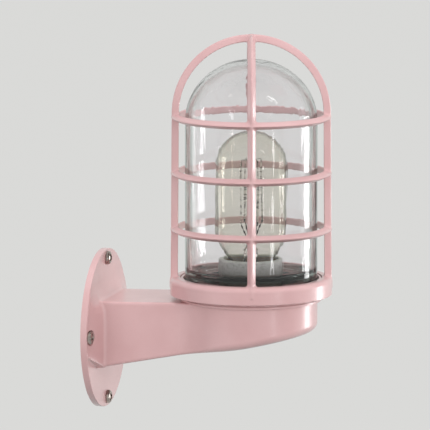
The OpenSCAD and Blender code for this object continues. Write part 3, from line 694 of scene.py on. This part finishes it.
gasket = lathe("jar_gasket_ring", rounded([
    (37.8, NECK_TOP, 0.3), (42.3, NECK_TOP, 0.3), (42.3, JAR_LOW, 0.4), (40.2, JAR_LOW, 0.2),
    (39.9, JAR_LOW - 0.25, 0.1), (39.5, JAR_LOW - 0.25, 0.1), (39.2, JAR_LOW, 0.2), (37.8, JAR_LOW, 0.3),
]), 128)
dress(gasket, RUBBER, "gasket_rubber", "jar_gasket", "jar_gasket")


# Lampholder


def holder_shape(x, y, z):
    x = x - REACH
    r = np.hypot(x, y)
    body = meet(meet(r - HOLDER_R, z - HOLDER_TOP, 1.2), HOLDER_LOW - z, 0.8)
    mouth = meet(r - MOUTH_R, 38.0 - z, 0.8)
    bore = np.maximum(r - 14.65, HOLDER_LOW + 4.6 - z)
    body = meet(body, -np.minimum(mouth, bore), 0.7)
    body = np.maximum(body, 5.1 - r)
    notch = np.maximum(np.maximum(14.4 - np.abs(x), np.abs(y) - 5.5), z - HOLDER_LOW - 9.5)
    return meet(body, -notch, 0.4)


holder = contoured("porcelain_holder", holder_shape, (REACH - 21, -21, 14.4), (REACH + 21, 21, 49.2), 0.55)
dress(holder, CERAMIC, "porcelain", "bracket", "lampholder_body")


def threaded(name, radius, wave, low, high, thickness, steps=96, extra=()):
    """A thin shell rolled to a screw thread between two heights, then through extra (r, z) points."""
    rows = int((high - low) / 0.3)
    zs = [low + (high - low) * i / rows for i in range(rows + 1)]
    profile = [(None, z) for z in zs] + list(extra)
    vertices = []
    for inset in (0.0, thickness):
        for r, z in profile:
            for k in range(steps):
                a = 2 * pi * k / steps
                if r is None:
                    fade = min(1.0, (z - low) / 2.0, (high - z) / 2.0)
                    rr = radius + wave / 2 * cos(2 * pi * z / CAP_PITCH - a) * max(fade, 0) - inset
                else:
                    rr = r - inset
                vertices.append((REACH + rr * cos(a), rr * sin(a), z))
    count = len(profile)
    faces = []
    for layer in (0, 1):
        for i in range(count - 1):
            for k in range(steps):
                p = (layer * count + i) * steps
                a, b = p + k, p + (k + 1) % steps
                quad = (a, b, b + steps, a + steps)
                faces.append(quad if layer == 0 else quad[::-1])
    for i, flip in ((0, True), (count - 1, False)):
        for k in range(steps):
            a, b = i * steps + k, i * steps + (k + 1) % steps
            c, d = b + count * steps, a + count * steps
            faces.append((a, d, c, b) if flip else (a, b, c, d))
    return as_object(name, vertices, faces, 40)


shell = threaded("screw_shell", 14.1, 0.8, 20.2, 37.4, 0.45, extra=[
    (14.6, 37.6), (16.4, 37.9), (16.7, 38.2), (16.7, 42), (16.7, 46.7), (16.6, 46.8)])
dress(shell, BRASS, "brass", "bracket", "lampholder_shell")
cap = threaded("lamp_cap", 12.7, 0.8, CAP_LOW + 1, CAP_TOP - 2.3, 0.35, extra=[
    (13.0, CAP_TOP - 2.1), (13.1, CAP_TOP - 1.8), (13.1, CAP_TOP - 0.3), (12.8, CAP_TOP)])
dress(cap, BRASS, "brass", "lamp", "bulb_cap")


def screw_shape(head_r, head_h, shank_r, shank_l):
    """A screw with a crossed recess in its domed head, its seat at z = 0."""
    def shape(x, y, z):
        r = np.hypot(x, y)
        crown = np.sqrt(x * x + y * y + (z + head_r * 2.2 - head_h) ** 2) - head_r * 2.2
        head = meet(meet(r - head_r, crown, head_h * 0.38), -z, 0.15)
        shank = np.maximum(np.maximum(r - shank_r, z - 0.2), -shank_l - z)
        body = np.minimum(head, shank)
        depth = head_h - z
        arm = head_r * 0.7 - depth * 0.45
        blade = head_r * 0.19 - depth * 0.05
        a, b = np.abs(x * 0.94 + y * 0.342), np.abs(y * 0.94 - x * 0.342)
        cross = np.minimum(np.maximum(a - arm, b - blade), np.maximum(b - arm, a - blade))
        cross = np.minimum(cross, r - head_r * 0.3 + depth * 0.1)
        cross = np.maximum(cross, head_h * 0.28 - z)
        return meet(body, -cross, 0.08)
    return shape


def screws(name, places, head_r, head_h, shank_r, shank_l, step=0.2):
    """Screws at (matrix) places, as one mesh."""
    side = head_r + 0.5
    v, f = contour(screw_shape(head_r, head_h, shank_r, shank_l),
                   (-side, -side, -shank_l - 0.5), (side, side, head_h + 0.5), step)
    turned = [v @ np.array(m)[:3, :3].T + np.array(m)[:3, 3] for m in places]
    faces = [f + k * len(v) for k in range(len(places))]
    return as_object(name, np.concatenate(turned), np.concatenate(faces), 30)


def outward(x, y, z, axis, spin=0.0):
    """The place of a screw whose head faces along axis."""
    turn = Vector((0, 0, 1)).rotation_difference(Vector(axis)).to_matrix().to_4x4()
    return Matrix.Translation((x, y, z)) @ turn @ Matrix.Rotation(spin, 4, "Z")


WALL_TURNS = ((0, 0.2), (pi / 2, 0.9), (pi, 0.5), (3 * pi / 2, 1.3))
wall_places = [outward(PLATE_T, SCREW_R * sin(a), SCREW_R * cos(a), (1, 0, 0), spin) for a, spin in WALL_TURNS]
ground_place = [outward(GROUND_X, GROUND_Y, underside(GROUND_X) + WALL + GROUND_HIGH, (0, 0, 1), 0.3)]
strap_places = [outward(REACH, s * STRAP_SCREW_R, HOLDER_LOW, (0, 0, 1), 0.4 * s) for s in (-1, 1)]
terminal_places = [outward(REACH + s * 16.92, 0, 21.2, (s, 0, 0), 0.7) for s in (-1, 1)]
# Each with its head's radius and height and its shank's radius and length
for name, places, sizes, material, slot, node in (
    ("wall_screws", wall_places, (4.3, 2.9, 2.05, 4.0), PLATED, "screw_plate", "mounting_screws"),
    ("green_screw", ground_place, (3.5, 2.4, 1.9, 3.6), GREEN, "green_plate", "ground_screw"),
    ("strap_fixings", strap_places, (3.2, 2.0, 1.7, 8.0), PLATED, "screw_plate", "strap_screws"),
    ("terminal_fixings", terminal_places, (3.0, 1.8, 1.5, 2.5), PLATED, "screw_plate", "terminal_screws"),
):
    dress(screws(name, places, *sizes), material, slot, "bracket", node)


# Lamp


def bulb_outline(inset):
    """The bulb's outer outline, or its inner one, moved in by inset."""
    neck, low = BULB_NECK_R, CAP_TOP + 0.2
    result = [(neck - inset, CAP_LOW + 6), (neck - inset, 36.0), (neck - inset, low)]
    for i in range(1, 25):
        t = i / 24
        r = neck + (BULB_R - neck) * sin(pi / 2 * t ** 0.92)
        result.append((r - inset, low + (BULB_SIDE - low) * t))
    result += [(BULB_R - inset, z) for z in (80.0, 94.0)]
    return result + oval(BULB_TOP - BULB_END, BULB_R - inset, BULB_END - inset, 0, pi / 2, 28)


bulb = lathe("bulb_envelope", bulb_outline(0) + bulb_outline(BULB_WALL)[::-1], 128, angle=60)
dress(bulb, BULB_GLASS, "bulb_clear", "lamp", "bulb_glass")

stem = lathe("bulb_stem_glass", rounded([
    (0.0, 57.0), (0.0, STEM_TOP), (1.1, STEM_TOP, 0.5), (1.5, STEM_TOP - 1.2, 0.6), (1.5, 60.0, 2.0),
    (3.0, 56.0, 2.0), (4.6, 53.0, 2.0), (4.4, 47.0, 2.0), (6.0, 41.0, 3.0), (10.4, 34.6, 0.4),
    (10.4, 33.4, 0.3), (9.0, 33.6, 0.4), (4.6, 41.0, 2.0), (3.4, 46.0, 1.0), (3.4, 51.0, 1.0),
]), 64, angle=60)
dress(stem, STEM_GLASS, "stem_glass", "lamp", "bulb_stem")


# Four strands, each with a hook under it and a loop over it
STRANDS = [radians(46 + 90 * k) for k in range(4)]
HOOK = ((1.7, 57.0), (3.0, 60.0), (5.6, 66.0), (7.2, 69.6), (7.6, 71.6))
LOOP = ((1.2, 107.6), (3.6, 109.8), (6.2, 110.3), (7.5, 110.0), (7.6, 109.0))


def coil(a, turns=34, radius=0.45):
    """A fine coil standing at angle a on the strands' circle."""
    cx, cy = REACH + STRAND_R * cos(a), STRAND_R * sin(a)
    steps = turns * 10
    return [(cx + radius * cos(2 * pi * turns * i / steps), cy + radius * sin(2 * pi * turns * i / steps),
             STRAND_LOW + (STRAND_HIGH - STRAND_LOW) * i / steps) for i in range(steps + 1)]


def wires(line):
    """The same bent wire, given as (r, z) points, at each strand."""
    return [spline([(REACH + r * cos(a), r * sin(a), z) for r, z in line], 4) for a in STRANDS]


dress(tube("filament_strands", [coil(a) for a in STRANDS], 0.2, 6), STRAND, "strand", "lamp", "filament")
dress(tube("filament_hooks", wires(HOOK), 0.34, 8), WIRE, "wire", "lamp", "filament_supports")
dress(tube("filament_loops", wires(LOOP), 0.16, 8), WIRE, "wire", "lamp")


# Leads, along the part's own routes

NEAR, FAR, SIDE, END_Z = REACH - 16.9, REACH + 16.9, 2.26, 17.0
LEAD_R, COPPER_R, COPPER_OUT = 1.3, 0.73, 7
TAB, TAB_TOP = 16.15, 23.2
LEADS = (
    ("line_lead", BLACK_LEAD, "black_lead", -1, [
        (9, -8, 2), (18, -8, 1), (32.85, -9, -1), (48.85, -9, 0), (NEAR - 14, -7, 2), (NEAR - 4, -3, 5),
        (NEAR, SIDE - 1, 11), (NEAR, SIDE, END_Z)]),
    ("neutral_lead", WHITE_LEAD, "white_lead", 1, [
        (9, 6, 4), (18, 6, 4), (32.85, 7, 3), (48.85, 9, 2), (NEAR - 6, 12, 3), (REACH - 8, 15, 5),
        (REACH + 6, 14, 6), (FAR - 2, 8, 8.5), (FAR, SIDE + 1, 12), (FAR, SIDE, END_Z)]),
    ("ground_lead", GREEN_LEAD, "green_lead", 0, [
        (8, 14, -5), (12, 14, -5.5), (15, 13.6, -8.0), (GROUND_X, GROUND_Y, -8.65)]),
)
for name, material, slot, terminal, route in LEADS:
    dress(tube(name + "_jacket", [spline(route)], LEAD_R, 16), material, slot, "bracket", name)
    x0, y0, z0 = route[0]
    bare = [[(x0 - COPPER_OUT, y0, z0), (x0 + 1, y0, z0)]]
    if terminal:
        bare.append([(REACH + terminal * TAB, SIDE, z) for z in (END_Z - 1, TAB_TOP)])
    dress(tube(name + "_bare", bare, COPPER_R, 12), BRASS, "brass", "bracket")

# The nodes that keep their CAD shape
for node, material in (
    ("wall_gasket", RUBBER), ("centre_contact", BRASS), ("terminals", BRASS), ("lampholder_strap", STEEL),
    ("threaded_tube", STEEL), ("tube_nut", STEEL), ("bulb_insulator", BLACK_GLASS), ("bulb_tip", SOLDER),
):
    data = frame["nodes"][node].data
    data.materials.clear()
    data.materials.append(material)

# Stage: floor, lamps and camera

BACKDROP, BACKDROP_SHARE = srgb(219, 219, 217), 0.93
FLOOR_SIZE, FLOOR_Z = 12.0, -0.30
SEEN = ("Is Camera Ray", "Is Glossy Ray", "Is Transmission Ray")


def floor():
    """A pale floor that keeps the object's shadow."""
    e, z = FLOOR_SIZE, FLOOR_Z
    obj = add_mesh("floor", [(-e, -e, z), (e, -e, z), (e, e, z), (-e, e, z)], [(0, 1, 2, 3)])
    n = Nodes("floor_paper")
    lit = n.add("ShaderNodeBsdfDiffuse")
    lit.inputs["Color"].default_value = srgb(114, 114, 113)
    plain = n.add("ShaderNodeEmission")
    plain.inputs["Color"].default_value = BACKDROP
    plain.inputs["Strength"].default_value = 1.05
    n.mix_shaders(n.maths("MULTIPLY", any_ray(n.tree, *SEEN), BACKDROP_SHARE), lit, plain)
    obj.data.materials.append(n.material)


def world():
    """Soft light from all round, with the backdrop's colour where it is seen."""
    w = bpy.data.worlds.new("studio")
    bpy.context.scene.world = w
    w.use_nodes = True
    tree = w.node_tree
    tree.nodes.clear()
    out = tree.nodes.new("ShaderNodeOutputWorld")
    light = tree.nodes.new("ShaderNodeBackground")
    light.inputs["Color"].default_value = (0.93, 0.95, 1.0, 1)
    light.inputs["Strength"].default_value = 0.62
    seen = tree.nodes.new("ShaderNodeBackground")
    seen.inputs["Color"].default_value = BACKDROP
    mix = tree.nodes.new("ShaderNodeMixShader")
    tree.links.new(any_ray(tree, *SEEN), mix.inputs[0])
    tree.links.new(light.outputs[0], mix.inputs[1])
    tree.links.new(seen.outputs[0], mix.inputs[2])
    tree.links.new(mix.outputs[0], out.inputs["Surface"])


CAMERA_AZ, CAMERA_RISE = radians(14), 8
AIM = Vector((REACH, 0, 85)) * MM
LENS, SENSOR, FRAME, PIXEL = 500.0, 36.0, 430, 0.627


def direction(turn, rise):
    """A direction turn degrees to the camera's right of the object and rise degrees up."""
    a, e = CAMERA_AZ + radians(turn), radians(rise)
    return Vector((sin(a) * cos(e), -cos(a) * cos(e), sin(e)))


def lamp(name, turn, rise, away, width, height, watts):
    """A rectangular lamp that faces the object from a direction."""
    data = bpy.data.lights.new(name, "AREA")
    data.shape = "RECTANGLE"
    data.size, data.size_y = width, height
    data.energy = watts
    obj = bpy.data.objects.new(name, data)
    bpy.context.scene.collection.objects.link(obj)
    way = direction(turn, rise)
    obj.location = AIM + way * away
    obj.rotation_euler = way.to_track_quat("Z", "Y").to_euler()
    return obj


def camera():
    """The photograph's view: PIXEL millimetres to a pixel at the object."""
    data = bpy.data.cameras.new("camera")
    data.lens, data.sensor_width = LENS, SENSOR
    data.clip_end = 60.0
    away = LENS / SENSOR * FRAME * PIXEL * MM
    back = direction(0, CAMERA_RISE)
    right = Vector((cos(CAMERA_AZ), sin(CAMERA_AZ), 0))
    up = back.cross(right)
    target = (right * 72.1 + up * 70.85 + back * 37.3) * MM
    obj = bpy.data.objects.new("camera", data)
    bpy.context.scene.collection.objects.link(obj)
    turn = Matrix((right, up, back)).transposed().to_4x4()
    obj.matrix_world = Matrix.Translation(target + back * away) @ turn
    bpy.context.scene.camera = obj


floor()
world()
lamp("right_strip", 113, -6, 1.3, 0.31, 0.5, 3.5)
lamp("left_strip", -119, -6, 1.3, 0.2, 0.5, 0.5)
lamp("front_slit", 38, -6, 1.6, 0.05, 0.5, 0.6)
lamp("glint", 53, 46, 1.6, 0.07, 0.5, 0.6).rotation_euler.rotate_axis("Z", radians(30))
for soft in (
    lamp("right_soft", 98, 2, 1.3, 0.5, 1.0, 4.8),
    lamp("left_soft", -50, 6, 1.6, 1.0, 1.2, 6.8),
    lamp("key", 26, 10, 1.8, 1.2, 1.0, 12),
    lamp("top", 0, 88, 1.4, 1.0, 1.0, 8.2),
):
    soft.visible_glossy = False
    soft.visible_transmission = False
camera()
bpy.context.scene.view_settings.view_transform = "Standard"
